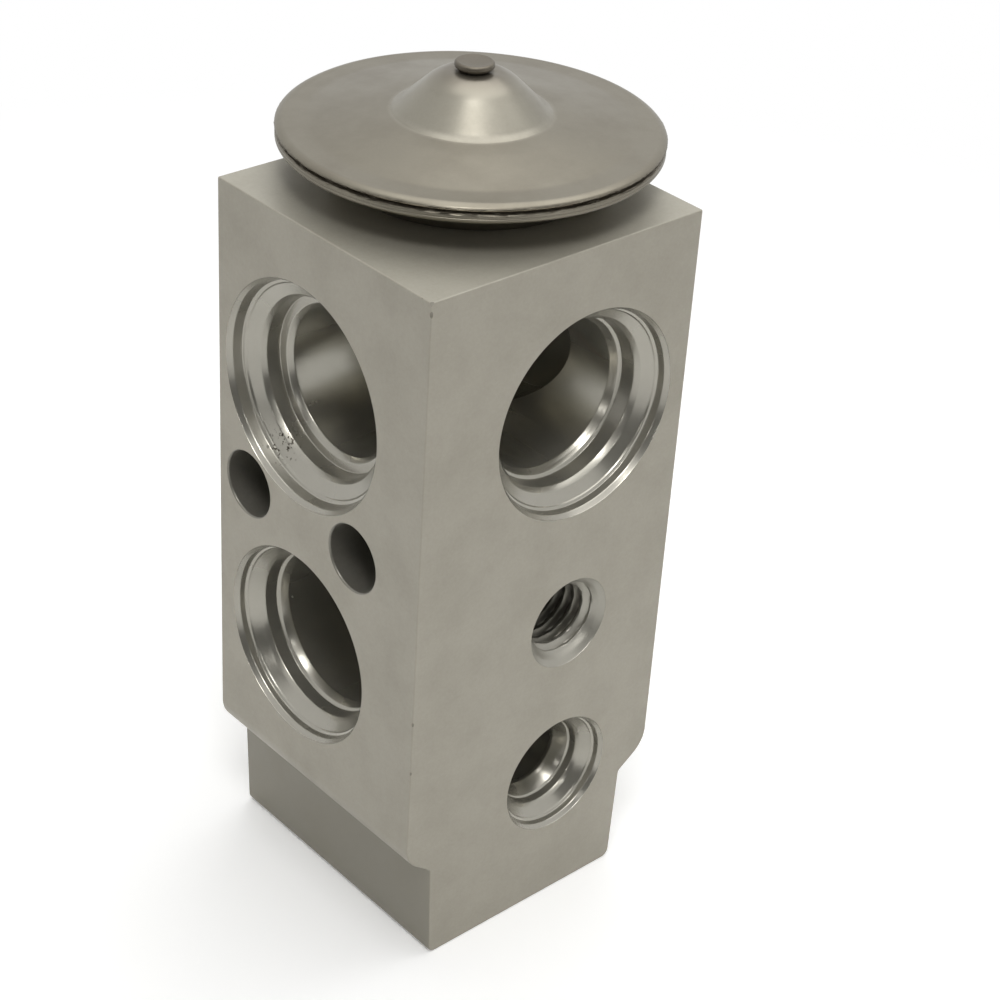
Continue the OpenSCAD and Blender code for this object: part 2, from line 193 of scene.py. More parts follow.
def mottle(
    tree: Tree,
    place: Socket,
    size: float,
    detail: float,
    rough: float = 0.6,
    lines: bool = False,
) -> Socket:
    """Returns an uneven pattern round 0.5.

    Args:
        tree: node tree that gets the node.
        place: place on the piece, or the way along it for a pattern of lines.
        size: size of one patch in millimetres.
        detail: number of finer layers.
        rough: strength of the finer layers.
        lines: whether the pattern runs along one number alone.

    Returns:
        The pattern.
    """
    inputs = {"W" if lines else "Vector": place, "Scale": 1 / size, "Detail": detail}
    kind = "1D" if lines else "3D"
    node = add_node(tree, "TexNoise", {**inputs, "Roughness": rough}, noise_dimensions=kind)
    return node.outputs["Fac"]


def new_material(name: str) -> Material:
    """Returns a material without nodes."""
    material = bpy.data.materials.new(name)
    material.use_nodes = True
    material.node_tree.nodes.clear()
    return material


# Finishes

# Values at which a pattern starts to show and at which it is full
CLOUD_SPAN = (0.42, 0.75)
SPECK_SPAN = (0.3, 0.75)
PIT_SPAN = (0.59, 0.66)
# Upward part of the normal at which the painted light on what faces up starts and is full
PAINTED_TOP_LIGHT_SPAN = (0.8, 0.97)


@dataclass(frozen=True)
class Finish:
    """A surface with speckle and soft stains.

    Attributes:
        name: name of the material.
        colour: colour of the clean surface.
        stain: colour of the stains.
        metallic: 1 for bare metal.
        roughness: how wide the highlights are.
        speckle_mm: size of one speck.
        speckle_depth: height of the specks in millimetres.
        speckle_tone: how much the specks change the colour.
        cloud_mm: size of a soft stain.
        cloud_tone: how much the stains change the colour.
    """

    name: str
    colour: str
    stain: str
    metallic: float = 1.0
    roughness: float = 0.4
    speckle_mm: float = 0.3
    speckle_depth: float = 0.002
    speckle_tone: float = 0.2
    cloud_mm: float = 6.0
    cloud_tone: float = 0.3

    def place(self, tree: Tree) -> Socket:
        """Returns the place on the piece in millimetres."""
        place = add_node(tree, "TexCoord").outputs["Object"]
        return vector(tree, "MULTIPLY", place, (1 / MM,) * 3)

    def clean(self, tree: Tree, place: Socket) -> Socket | Colour:
        """Returns the colour of the clean surface."""
        return srgb(self.colour)

    def marks(self, tree: Tree, place: Socket) -> Socket | None:
        """Returns the height of tool marks in millimetres, where there are any."""
        return None

    def extra_stain(self, tree: Tree, place: Socket) -> Socket | None:
        """Returns more stain, from 0 to 1, where there is any."""
        return None

    def build(self) -> Material:
        """Makes the material.

        Returns:
            The material, ready to be put on a piece.
        """
        material = new_material(self.name)
        tree = material.node_tree
        place = self.place(tree)
        speck = mottle(tree, place, self.speckle_mm, 3.0)
        cloud = mottle(tree, place, self.cloud_mm, 4.0, 0.62)
        spread = ramp(tree, cloud, *CLOUD_SPAN, self.cloud_tone)
        grit = ramp(tree, speck, *SPECK_SPAN, self.speckle_tone)
        tone = calc(tree, "ADD", spread, grit)
        more = self.extra_stain(tree, place)
        if more is not None:
            tone = calc(tree, "MAXIMUM", tone, more)
        height = calc(tree, "MULTIPLY", speck, self.speckle_depth)
        marks = self.marks(tree, place)
        if marks is not None:
            height = calc(tree, "ADD", height, marks)
        bump = add_node(tree, "Bump", {"Height": height, "Strength": 1.0, "Distance": MM})
        rough = self.roughness
        inputs = {
            "Base Color": mix(tree, tone, self.clean(tree, place), srgb(self.stain)),
            "Metallic": self.metallic,
            "Roughness": ramp(tree, cloud, 0.3, 0.7, rough * 1.1, rough * 0.92),
            "Normal": bump.outputs["Normal"],
        }
        shader = add_node(tree, "BsdfPrincipled", inputs)
        add_node(tree, "OutputMaterial", {"Surface": shader.outputs["BSDF"]})
        return material


@dataclass(frozen=True)
class Drawn(Finish):
    """Drawn and tumbled bar with a milled top: painted light on what faces up, painted shade
    beside its foot.

    Attributes:
        painted_top_light: painted light on whatever faces up, the milled top among it.
        painted_foot_shade: painted shade on the sides of the foot, under the shoulder.
        foot_top: height in millimetres at which the darker sides end.
        foot_fade: height over which they get darker.
    """

    # Painted light on what faces up
    painted_top_light: str = "#a7a396"
    # Painted shade on the sides of the foot, under the shoulder
    painted_foot_shade: str = "#8a867a"
    foot_top: float = 13.0
    foot_fade: float = 2.0

    def clean(self, tree: Tree, place: Socket) -> Socket | Colour:
        """Returns the bar's colour, with painted light on top and painted shade by the foot."""
        facing = add_node(tree, "NewGeometry").outputs["Normal"]
        # Painted light: faces that look up are paler, as if lit from above
        top = ramp(tree, part(tree, facing, 2), *PAINTED_TOP_LIGHT_SPAN)
        # Painted shade: the foot's sides below the shoulder get darker
        low = ramp(tree, part(tree, place, 2), self.foot_top, self.foot_top - self.foot_fade)
        sideways = calc(tree, "MULTIPLY", part(tree, facing, 0), low)
        foot = calc(tree, "ABSOLUTE", sideways)
        body = mix(tree, foot, srgb(self.colour), srgb(self.painted_foot_shade))
        return mix(tree, top, body, srgb(self.painted_top_light))


@dataclass(frozen=True)
class Turned(Finish):
    """A surface turned or bored about an axis, with rings left by the tool.

    Attributes:
        axis: axis that the surface was turned about.
        centre: a point on that axis in millimetres.
        pitch_mm: distance between two marks.
        mark_depth: depth of the marks in millimetres.
    """

    axis: Axis = Axis.Z
    centre: Place = (0.0, 0.0, 0.0)
    pitch_mm: float = 0.2
    mark_depth: float = 0.002

    def marks(self, tree: Tree, place: Socket) -> Socket | None:
        """Returns the height of the rings, which follow the radius and the axis."""
        local = vector(tree, "SUBTRACT", place, self.centre)
        keep = [1.0, 1.0, 1.0]
        keep[self.axis.value] = 0.0
        radius = vector(tree, "LENGTH", vector(tree, "MULTIPLY", local, tuple(keep)))
        way = calc(tree, "ADD", radius, part(tree, local, self.axis.value))
        ring = mottle(tree, way, self.pitch_mm, 2.0, 0.55, lines=True)
        return calc(tree, "MULTIPLY", ring, self.mark_depth)


@dataclass(frozen=True)
class Seat(Turned):
    """Bored aluminium: bright, with fine rings about the port's axis and a tone painted deep in
    the hole.

    Attributes:
        painted_bore_colour: colour past bore_from: painted light in the ports' bores, painted
            shade down a thread.
        bore_from: depth below the face at which the painted bore colour starts.
        pits_at: middle of a place with a few dark pits, where there is one.
        pits_reach: how far the pits spread from there.
        pit_mm: size of one pit.
    """

    colour: str = "#a5a298"
    stain: str = "#3f3a30"
    metallic: float = 0.72
    roughness: float = 0.25
    speckle_tone: float = 0.03
    cloud_tone: float = 0.08
    pitch_mm: float = 0.22
    mark_depth: float = 0.0012
    # Painted light: paler than the seat, deep in the ports' bores
    painted_bore_colour: str = "#b3b0a5"
    bore_from: float = 5.1
    pits_at: Place | None = None
    pits_reach: float = 2.6
    pit_mm: float = 1 / 2.6

    def clean(self, tree: Tree, place: Socket) -> Socket | Colour:
        """Returns the seat's colour, with the painted bore colour past a depth."""
        along = part(tree, place, self.axis.value)
        start = self.centre[self.axis.value] + self.bore_from
        # Painted tone by depth: past bore_from the painted bore colour takes over
        inside = ramp(tree, along, start - 0.1, start + 0.1)
        return mix(tree, inside, srgb(self.colour), srgb(self.painted_bore_colour))

    def extra_stain(self, tree: Tree, place: Socket) -> Socket | None:
        """Returns the dark pits, near the pitted place alone."""
        if self.pits_at is None:
            return None
        away = vector(tree, "DISTANCE", place, self.pits_at)
        near = ramp(tree, away, self.pits_reach, self.pits_reach * 0.4)
        speck = mottle(tree, place, self.pit_mm, 2.0)
        return calc(tree, "MULTIPLY", near, ramp(tree, speck, *PIT_SPAN))


@dataclass(frozen=True)
class Pressed(Turned):
    """Pressed sheet steel with a highlight painted on its dome and a dark, mottled weld seam.

    Attributes:
        seam_z: height of the weld seam in millimetres.
        seam_half: half the height of the discoloured band.
        seam_r: radius outside which the seam's discolouring shows.
        seam_mm: size of one patch of it.
        seam_tone: how much it changes the colour.
        tint_r: radius of the heat tint round the plug.
        tint_full_r: radius at which the tint is full.
        tint_tone: how much the tint changes the colour.
        painted_dome_highlight: paler colour on the dome, a painted highlight.
        dome_r: radius of the dome's foot.
    """

    seam_z: float = 78.8
    seam_half: float = 0.42
    seam_r: float = 17.0
    seam_mm: float = 1 / 1.6
    seam_tone: float = 0.85
    tint_r: float = 4.6
    tint_full_r: float = 2.4
    tint_tone: float = 0.55
    # Painted highlight on the dome
    painted_dome_highlight: str = "#8f8b7f"
    dome_r: float = 7.5

    def radius(self, tree: Tree, place: Socket) -> Socket:
        """Returns the distance from the head's axis in millimetres."""
        return vector(tree, "LENGTH", vector(tree, "MULTIPLY", place, (1.0, 1.0, 0.0)))

    def clean(self, tree: Tree, place: Socket) -> Socket | Colour:
        """Returns the sheet's colour, with a painted highlight on the dome."""
        # Painted highlight: the dome is paler than the flat sheet
        dome = ramp(tree, self.radius(tree, place), self.dome_r + 0.3, self.dome_r - 0.3)
        return mix(tree, dome, srgb(self.colour), srgb(self.painted_dome_highlight))

    def extra_stain(self, tree: Tree, place: Socket) -> Socket | None:
        """Returns the discolouring along the weld and the heat tint round the plug."""
        offset = calc(tree, "SUBTRACT", part(tree, place, 2), self.seam_z)
        away = calc(tree, "ABSOLUTE", offset)
        patches = mottle(tree, place, self.seam_mm, 3.0)
        reach = calc(tree, "MULTIPLY", patches, 2 * self.seam_half)
        radius = self.radius(tree, place)
        rim = ramp(tree, radius, self.seam_r, self.seam_r + 0.4)
        seam = calc(tree, "MULTIPLY", ramp(tree, away, reach, 0.02, self.seam_tone), rim)
        tint = ramp(tree, radius, self.tint_r, self.tint_full_r, self.tint_tone)
        return calc(tree, "MAXIMUM", seam, tint)


# Tumbled aluminium, 0.3 mm speckle: dull grey with soft wide highlights, painted light on top,
# painted shade by the foot
BLOCK = Drawn("tumbled_aluminium", "#a49f92", "#8b8678", metallic=0.3, roughness=0.45)
# Knocked aluminium: dull and darker than the block, in the knocks
BRUISED = Finish(
    "bruised_aluminium", "#8b877b", "#5d594f", metallic=0.3, roughness=0.5, cloud_mm=0.9
)
# Drilled aluminium: darker than the faces, with rings that the drill left
DRILLED = Turned(
    "drilled_aluminium", "#87847b", "#67645b", metallic=0.5, roughness=0.35, axis=Axis.X
)
# Pressed stainless steel, tumbled: satin grey, with a highlight painted on the dome
PRESSED = Pressed(
    "pressed_stainless_steel",
    "#7c776a",
    "#50473c",
    metallic=0.72,
    roughness=0.36,
    speckle_mm=0.25,
    speckle_tone=0.07,
    cloud_mm=5.0,
    cloud_tone=0.22,
    pitch_mm=0.4,
    mark_depth=0.003,
)
# Turned steel rivet head: darker than the cover that it closes
PLUG = Turned(
    "turned_steel_plug", "#655f53", "#4c453c", metallic=0.6, roughness=0.45, pitch_mm=0.3
)
# Fine sheet spring steel, cold rolled: smooth and a little yellow
FILM = Turned("rolled_spring_steel", "#b8ad93", "#7a715f", roughness=0.28, pitch_mm=0.8)
# Turned low-carbon steel, oiled: grey with clear rings
STOP = Turned("turned_steel_plate", "#9d9480", "#6a6254", roughness=0.34, pitch_mm=0.35)
# Turned aluminium rod: paler than the block
ROD = Turned("turned_aluminium_rod", "#b9b4a6", "#8d8779", roughness=0.3, pitch_mm=0.25)
# Centreless-ground steel pin: bright and smooth
PIN = Turned("ground_steel_pin", "#a8a59f", "#7d7a74", roughness=0.2, pitch_mm=0.15)
# Turned free-cutting brass: yellow with crisp highlights
RETAINER = Turned("turned_brass_sleeve", "#b8975a", "#7a5f33", roughness=0.28, pitch_mm=0.25)
# Lapped bearing steel: mirror bright
BALL = Finish("lapped_bearing_steel", "#c6c6c4", "#a5a5a3", roughness=0.08, speckle_depth=0.0)
# Turned steel cup: satin
HOLDER = Turned("turned_steel_cup", "#958e82", "#625c52", roughness=0.34, pitch_mm=0.3)
# Drawn spring wire: bright grey along the wire
SPRING = Finish("drawn_spring_wire", "#b5b4af", "#85837c", roughness=0.24)
# Turned free-cutting brass of the screw: as the sleeve, duller from handling
SCREW = Turned("turned_brass_screw", "#b39a62", "#6f5c35", roughness=0.32, pitch_mm=0.3)
# Moulded nitrile rubber: black with a soft sheen
RUBBER = Finish(
    "moulded_nitrile_rubber", "#262625", "#171716", 0.0, roughness=0.55, speckle_mm=0.15
)


# Mesh helpers


def soften(points: Sequence[Corner], radius: float, parts: int = 3) -> list[Point]:
    """Rounds the inner corners of an open profile.

    Args:
        points: corners of the profile, some with a round of their own as third number.
        radius: how far from any other corner its round starts, at most.
        parts: number of steps in a round.

    Returns:
        The corners of the rounded profile.
    """
    result = [points[0][:2]]
    for before, corner, after in zip(points, points[1:], points[2:]):
        here = Vector(corner[:2])
        back, on = Vector(before[:2]) - here, Vector(after[:2]) - here
        own = corner[2] if len(corner) > 2 else radius
        reach = min(own, 0.45 * back.length, 0.45 * on.length)
        start, end = here + back.normalized() * reach, here + on.normalized() * reach
        for step in range(parts + 1):
            t = step / parts
            spot = start * (1 - t) ** 2 + here * 2 * t * (1 - t) + end * t**2
            result.append((spot.x, spot.y))
    result.append(points[-1][:2])
    return result


def around(radius: float, angle: float, height: float) -> Place:
    """Returns the place at a radius, an angle and a height about Z."""
    return (radius * math.cos(angle), radius * math.sin(angle), height)


def skin(
    work: Work, rings: Sequence[Sequence[bmesh.types.BMVert]], capped: bool = False
) -> None:
    """Joins each closed ring of corners to the next one; caps close both ends.

    Args:
        work: mesh that gets the faces.
        rings: the rings, with as many corners each.
        capped: whether the first and the last ring get a cap.
    """
    for low, high in zip(rings, rings[1:]):
        for index in range(len(low)):
            turn = (index + 1) % len(low)
            corners = list(dict.fromkeys((low[index], low[turn], high[turn], high[index])))
            if len(corners) > 2:
                work.faces.new(corners)
    for end in (rings[0], rings[-1]) if capped else ():
        work.faces.new(end)


def lathe(
    name: str,
    profile: Sequence[Point],
    steps: int = 192,
    shift: Shift | None = None,
    looped: bool = False,
) -> Mesh:
    """Turns a profile of (radius, height) corners round Z.

    Args:
        name: name of the mesh.
        profile: corners of the profile.
        steps: number of steps round the axis.
        shift: extra radius and height at an angle, for a corner's number.
        looped: whether the last corner joins the first.

    Returns:
        The closed mesh in millimetres.
    """
    work = bmesh.new()
    rings = []
    for number, (radius, height) in enumerate(profile):
        if radius < 1e-6:
            rings.append([work.verts.new((0.0, 0.0, height))] * steps)
            continue
        ring = []
        for step in range(steps):
            angle = math.tau * step / steps
            out, up = shift(angle, number) if shift else (0.0, 0.0)
            ring.append(work.verts.new(around(radius + out, angle, height + up)))
        rings.append(ring)
    skin(work, [*rings, rings[0]] if looped else rings)
    return mesh_from(name, work)


def mesh_from(name: str, work: Work, closed: bool = True) -> Mesh:
    """Turns the working mesh into a mesh; a closed one's faces then look outwards."""
    if closed:
        bmesh.ops.recalc_face_normals(work, faces=work.faces[:])
    mesh = bpy.data.meshes.new(name)
    work.to_mesh(mesh)
    work.free()
    return mesh


def add_item(name: str, data: bpy.types.ID) -> Item:
    """Adds an object with its data to the scene."""
    item = bpy.data.objects.new(name, data)
    bpy.context.scene.collection.objects.link(item)
    return item


def put(mesh: Mesh, material: Material) -> Item:
    """Puts a mesh into the scene, with its material."""
    mesh.materials.append(material)
    return add_item(mesh.name, mesh)


def cut(target: Item, cutters: Sequence[Item]) -> None:
    """Takes the cutters out of the target, one by one, and removes them.

    Args:
        target: object that is cut.
        cutters: closed objects, whose materials go onto the cut faces.
    """
    for cutter in cutters:
        modifier = target.modifiers.new("cut", "BOOLEAN")
        modifier.operation = "DIFFERENCE"
        modifier.solver = "EXACT"
        modifier.material_mode = "TRANSFER"
        modifier.object = cutter
        graph = bpy.context.evaluated_depsgraph_get()
        mesh = bpy.data.meshes.new_from_object(target.evaluated_get(graph), depsgraph=graph)
        target.modifiers.clear()
        target.data, spent = mesh, target.data
        bpy.data.meshes.remove(spent)
        bpy.data.objects.remove(cutter)


@dataclass(frozen=True)
class Bend:
    """A piece that reaches between two bodies; nothing here makes it give way.

    Attributes:
        towards: body that its far end sits against; not used.
        start: height in millimetres up to which it belongs to its own body; not used.
        end: height from which it belongs to the other body; not used.
    """

    towards: Body
    start: float
    end: float


def finish_piece(
    item: Item,
    name: str,
    body: Body,
    replaced: Sequence[str],
    bend: Bend | None = None,
) -> None:
    """Turns a piece to metres, smooths it and lets it move with its body, unless it has a bend:
    then it stays on no body.

    Args:
        item: the piece, in millimetres.
        name: name of the piece.
        body: body that it moves with.
        replaced: CAD nodes that it stands for.
        bend: the other body, where the piece reaches across a joint.
    """
    item.name = name
    item.data.name = name
    item.data.transform(Matrix.Scale(MM, 4))
    item.data.shade_smooth()
    item.data.set_sharp_from_angle(angle=SMOOTH_ANGLE)
    if bend is None:
        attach(item, body.value)
    else:
        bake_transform(item)
    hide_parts(*replaced)
    log.info("%s: %d faces on %s", name, len(item.data.polygons), body.value)


# Sub-assemblies


def into_face(side: Side, face: float, height: float, along: float = 0.0) -> Matrix:
    """Turns z into the block, from a point on one of its faces.

    Args:
        side: the face.
        face: distance from the valve axis to it.
        height: height of the point.
        along: place of the point along the left face.

    Returns:
        The turn and shift.
    """
    if side is Side.LEFT:
        return Matrix.Translation((-face, along, height)) @ Matrix.Rotation(math.pi / 2, 4, "Y")
    return Matrix.Translation((0, -face, height)) @ Matrix.Rotation(-math.pi / 2, 4, "X")


@dataclass
class Port:
    """A stepped port.

    Attributes:
        name: name of the port.
        side: face that it opens in.
        height: height of its axis above the base.
        profile: (radius, depth) of each corner, from the mouth inwards.
        reach: depth of its bore.
        pits_at: middle of its pitted place, where it has one.
        bore_from: depth at which the painted light in the bore starts.
        spill: how much wider than the mouth the waste is outside it.
        above: how far the waste stands out of the mouth.
        edge_r: soft round on every edge.
        steps: steps round the axis.
    """

    name: str
    side: Side
    height: float
    profile: tuple[Point, ...]
    reach: float
    pits_at: Place | None = None
    bore_from: float = 5.1
    spill: float = 0.1
    above: float = 1.0
    edge_r: float = 0.09
    steps: int = 224

    def waste(self, face: float) -> Item:
        """Returns the port's waste, in its place and with its finish.

        Args:
            face: distance from the valve axis to the face that it opens in.

        Returns:
            The object that cuts the port.
        """
        mouth = self.profile[0][0] + self.spill
        corners = [(mouth, 0.0), *self.profile[1:], (self.profile[-1][0], self.reach)]
        outline = soften([(mouth, -self.above), *corners, (0.0, self.reach)], self.edge_r)
        mesh = lathe(self.name, [(0.0, -self.above), *outline], self.steps)
        mesh.transform(into_face(self.side, face, self.height))
        left = self.side is Side.LEFT
        finish = Seat(
            "bored_aluminium_" + self.name,
            axis=Axis.X if left else Axis.Y,
            centre=(-face, 0.0, self.height) if left else (0.0, -face, self.height),
            bore_from=self.bore_from,
            pits_at=self.pits_at,
        )
        return put(mesh, finish.build())


@dataclass
class Thread:
    """An inner thread, cut as a helix that fades out at the chamfer.

    Attributes:
        core_r: radius at the crests.
        outer_r: radius at the roots.
        pitch: rise in one turn.
        depth: depth of the hole.
        mouth: (radius, depth) of the chamfer's corners.
        above: how far the cutter stands out of the mouth.
        runout: length at the bottom that has no thread.
        crest: share of half a turn that the crest takes.
        flank: share of half a turn that the flank takes.
        tip: slope of the drilled tip in degrees.
        across: steps in one pitch.
        steps: steps round the axis.
    """

    core_r: float = 3.4
    outer_r: float = 4.0
    pitch: float = 1.25
    depth: float = 8.6
    mouth: tuple[Point, ...] = ((4.9, 0.0), (4.38, 0.5), (4.3, 0.6), (4.0, 1.0), (3.3, 1.75))
    above: float = 0.6
    runout: float = 0.9
    crest: float = 0.2
    flank: float = 0.62
    tip: float = 30.0
    across: int = 14
    steps: int = 96

    def groove(self, phase: float) -> float:
        """Returns the radius at a phase of the thread, from 0 to 1."""
        height = abs((phase % 1.0) - 0.5) * 2
        rise = min(max((height - self.crest) / self.flank, 0.0), 1.0)
        return self.core_r + (self.outer_r - self.core_r) * rise

    def chamfer(self, depth: float) -> float:
        """Returns the radius of the chamfer at a depth, or 0 below it."""
        for (wide, top), (narrow, low) in zip(self.mouth, self.mouth[1:]):
            if depth <= low:
                return wide + (narrow - wide) * (max(depth, 0.0) - top) / (low - top)
        return 0.0

    def cutter(self) -> Mesh:
        """Returns the waste of the threaded hole, running up z from its mouth."""
        length = self.depth + self.above
        rows = round(length / self.pitch * self.across)
        heights = [-self.above + length * row / rows for row in range(rows + 1)]
        profile = [(0.0, -self.above), *((1.0, height) for height in heights)]
        profile.append((0.0, self.depth + self.core_r * math.tan(math.radians(self.tip))))

        def shift(angle: float, number: int) -> Point:
            """Returns the extra radius of the helix at an angle and a row."""
            depth = heights[number - 1]
            helix = self.groove(depth / self.pitch - angle / math.tau)
            if depth > self.depth - self.runout:
                helix = self.core_r
            return (max(helix, self.chamfer(depth)) - 1.0, 0.0)

        return lathe("stud_thread", profile, self.steps, shift)


@dataclass
class Block:
    """The machined aluminium block."""

    width: float = 32.0
    depth: float = 30.4
    height: float = 74.3
    axis_left: float = 19.35
    axis_front: float = 17.9
    foot_left: float = 3.45
    foot_right: float = 3.8
    foot_taper: float = 0.4
    foot_h: float = 11.1
    shoulder_fall: float = 2.4
    shoulder_r: float = 3.4
    foot_fillet_r: float = 0.6
    foot_round_r: float = 0.9
    edge_break: float = 0.16
    end_round: float = 0.14
    fix_z: float = 43.8
    fix_pitch: float = 16.1
    fix_shift: float = -0.25
    fix_r: float = 3.35
    fix_break: float = 0.16
    tap_z: float = 33.85
    upper_z: float = 57.0
    outlet_z: float = 29.2
    inlet_z: float = 15.3
    past_axis: float = 8.6
    outlet_past: float = 6.5
    pits_at: Place = (-17.5, 5.1, 48.9)

    def ports(self) -> list[Port]:
        """Returns the four ports, as measured on the photograph."""
        upper_left = (
            (11.3, 0.0), (11.02, 0.5), (10.8, 1.5), (10.5, 1.57), (10.38, 1.78),
            (9.12, 2.35), (8.78, 2.9), (8.7, 4.35), (7.75, 4.42), (7.3, 4.95),
        )
        upper_front = (
            (10.6, 0.0), (10.32, 0.5), (10.22, 1.22), (9.98, 1.3), (9.9, 1.48), (8.9, 2.2),
            (8.52, 2.75), (8.45, 4.3), (8.12, 4.4), (7.9, 4.85), (7.7, 5.2),
        )
        outlet = (
            (10.25, 0.0), (9.97, 0.5), (9.92, 1.1), (9.68, 1.18), (9.6, 1.36),
            (8.85, 2.25), (8.56, 2.65), (8.5, 4.0), (8.15, 4.15), (7.8, 5.0),
        )
        inlet = (
            (6.45, 0.0), (6.17, 0.4), (6.12, 1.0), (5.9, 1.06), (5.82, 1.2), (5.05, 1.92),
            (4.76, 2.3), (4.7, 3.1), (4.5, 3.18), (3.95, 4.35), (3.78, 4.65), (3.75, 5.1),
            (4.3, 5.2),
        )
        left, front = self.axis_left, self.axis_front
        upper, past = self.upper_z, self.past_axis
        return [
            Port("suction_left_seat", Side.LEFT, upper, upper_left, left + past, self.pits_at),
            Port("suction_front_seat", Side.FRONT, upper, upper_front, front + past),
            Port("outlet_left_seat", Side.LEFT, self.outlet_z, outlet, left + self.outlet_past),
            Port("inlet_front_seat", Side.FRONT, self.inlet_z, inlet, front, bore_from=4.9),
        ]

    def half_outline(self, reach: float, inset: float) -> list[Point]:
        """Returns half of the bar's outline, from the base up to the top.

        Args:
            reach: distance from the axis to the side face.
            inset: how far the foot is set in at the base.

        Returns:
            Corners as (distance from the axis, height).
        """
        top_in = inset - self.foot_taper
        corners = [
            ((reach - inset, 0.0), self.foot_round_r, 8),
            ((reach - top_in, self.foot_h), self.foot_fillet_r, 6),
            ((reach, self.foot_h + self.shoulder_fall), self.shoulder_r, 14),
            ((reach, self.height), self.edge_break, 4),
        ]
        ends = [(0.0, 0.0), *(corner for corner, _, _ in corners), (0.0, self.height)]
        outline: list[Point] = []
        for index, (corner, radius, parts) in enumerate(corners):
            here = Vector(corner)
            back = (Vector(ends[index]) - here).normalized()
            on = (Vector(ends[index + 2]) - here).normalized()
            half = back.angle(on) / 2
            start = here + back * radius / math.tan(half)
            centre = here + (back + on).normalized() * radius / math.sin(half)
            end = here + on * radius / math.tan(half)
            first = math.atan2(*(start - centre).yx)
            sweep = math.remainder(math.atan2(*(end - centre).yx) - first, math.tau)
            for step in range(parts + 1):
                angle = first + sweep * step / parts
                spot = centre + Vector((math.cos(angle), math.sin(angle))) * radius
                outline.append((spot.x, spot.y))
        return outline

    def outline(self) -> list[Vector]:
        """Returns the bar's outline in x and z."""
        right = self.half_outline(self.width - self.axis_left, self.foot_right)
        left = self.half_outline(self.axis_left, self.foot_left)
        return [Vector(p) for p in right] + [Vector((-x, z)) for x, z in reversed(left)]

    def bar(self) -> Mesh:
        """Returns the drawn bar with its cut ends softly rounded."""
        outline = self.outline()
        count = len(outline)
        inward = []
        for index, here in enumerate(outline):
            back = (here - outline[index - 1]).normalized()
            on = (outline[(index + 1) % count] - here).normalized()
            normals = [Vector((-d.y, d.x)) for d in (back, on)]
            middle = (normals[0] + normals[1]).normalized()
            inward.append(middle / max(middle.dot(normals[0]), 0.3))
        front, back_y = -self.axis_front, self.depth - self.axis_front
        parts, r = 4, self.end_round
        angles = [math.pi / 2 * step / parts for step in range(parts + 1)]
        stations = [(r * (1 - math.sin(a)), r * (1 - math.cos(a))) for a in angles]
        rows = [(inset, front + run) for inset, run in stations]
        rows += [(inset, back_y - run) for inset, run in reversed(stations)]
        work = bmesh.new()
        rings = []
        for inset, y in rows:
            spots = [here + way * inset for here, way in zip(outline, inward)]
            rings.append([work.verts.new((spot.x, y, spot.y)) for spot in spots])
        skin(work, rings, capped=True)
        return mesh_from("bar", work)

    def axis_waste(self) -> Mesh:
        """Returns the waste of the bores along the valve axis."""
        profile = [
            (0.0, -1.0), (7.45, -1.0), (7.45, -0.02), (6.95, 0.48), (6.95, 6.6),
            (6.3, 6.75), (6.3, 19.4), (2.1, 19.4), (2.1, 29.0), (1.45, 29.0), (1.45, 44.6),
            (3.3, 44.6), (3.3, 56.0), (4.4, 56.0), (4.4, 67.2), (10.0, 67.2), (10.0, 73.0),
            (11.4, 73.0), (11.4, 75.3), (0.0, 75.3),
        ]
        return lathe("axis_bores", profile, 128)

    def fixing_waste(self, side: int) -> Mesh:
        """Returns the waste of a fixing hole that runs through the block."""
        wide = self.fix_r + self.fix_break
        half = [
            (0.0, -1.0), (wide + 0.04, -1.0), (wide + 0.04, -0.02), (wide - 0.06, 0.06),
            (self.fix_r, self.fix_break + 0.06),
        ]
        profile = half + [(r, self.width - depth) for r, depth in reversed(half)]
        mesh = lathe("fixing_hole", profile, 96)
        along = self.fix_shift + side * self.fix_pitch / 2
        mesh.transform(into_face(Side.LEFT, self.axis_left, self.fix_z, along))
        return mesh

    def dings(self) -> list[Mesh]:
        """Returns small knocks at the near top corner and along the near edge."""
        left, front, top = -self.axis_left, -self.axis_front, self.height
        knocks = (
            ((left - 0.68, front - 0.62, top + 0.6), 1.32),
            ((left - 0.3, front - 0.36, top - 1.1), 0.62),
            ((left - 0.42, front + 1.3, top + 0.4), 0.66),
            ((left - 0.3, front - 0.25, 30.4), 0.5),
            ((left - 0.2, front - 0.3, 24.6), 0.46),
        )
        meshes = []
        for spot, radius in knocks:
            work = bmesh.new()
            bmesh.ops.create_icosphere(work, subdivisions=4, radius=radius)
            for corner in work.verts:
                corner.co *= 1 + 0.06 * noise.noise(corner.co * 3 + Vector(spot))
                corner.co += Vector(spot)
            meshes.append(mesh_from("knock", work))
        return meshes

    def build(self) -> None:
        """Builds the block, cuts it and dresses it."""
        item = put(self.bar(), BLOCK.build())
        faces = {Side.LEFT: self.axis_left, Side.FRONT: self.axis_front}
        cutters = [port.waste(faces[port.side]) for port in self.ports()]
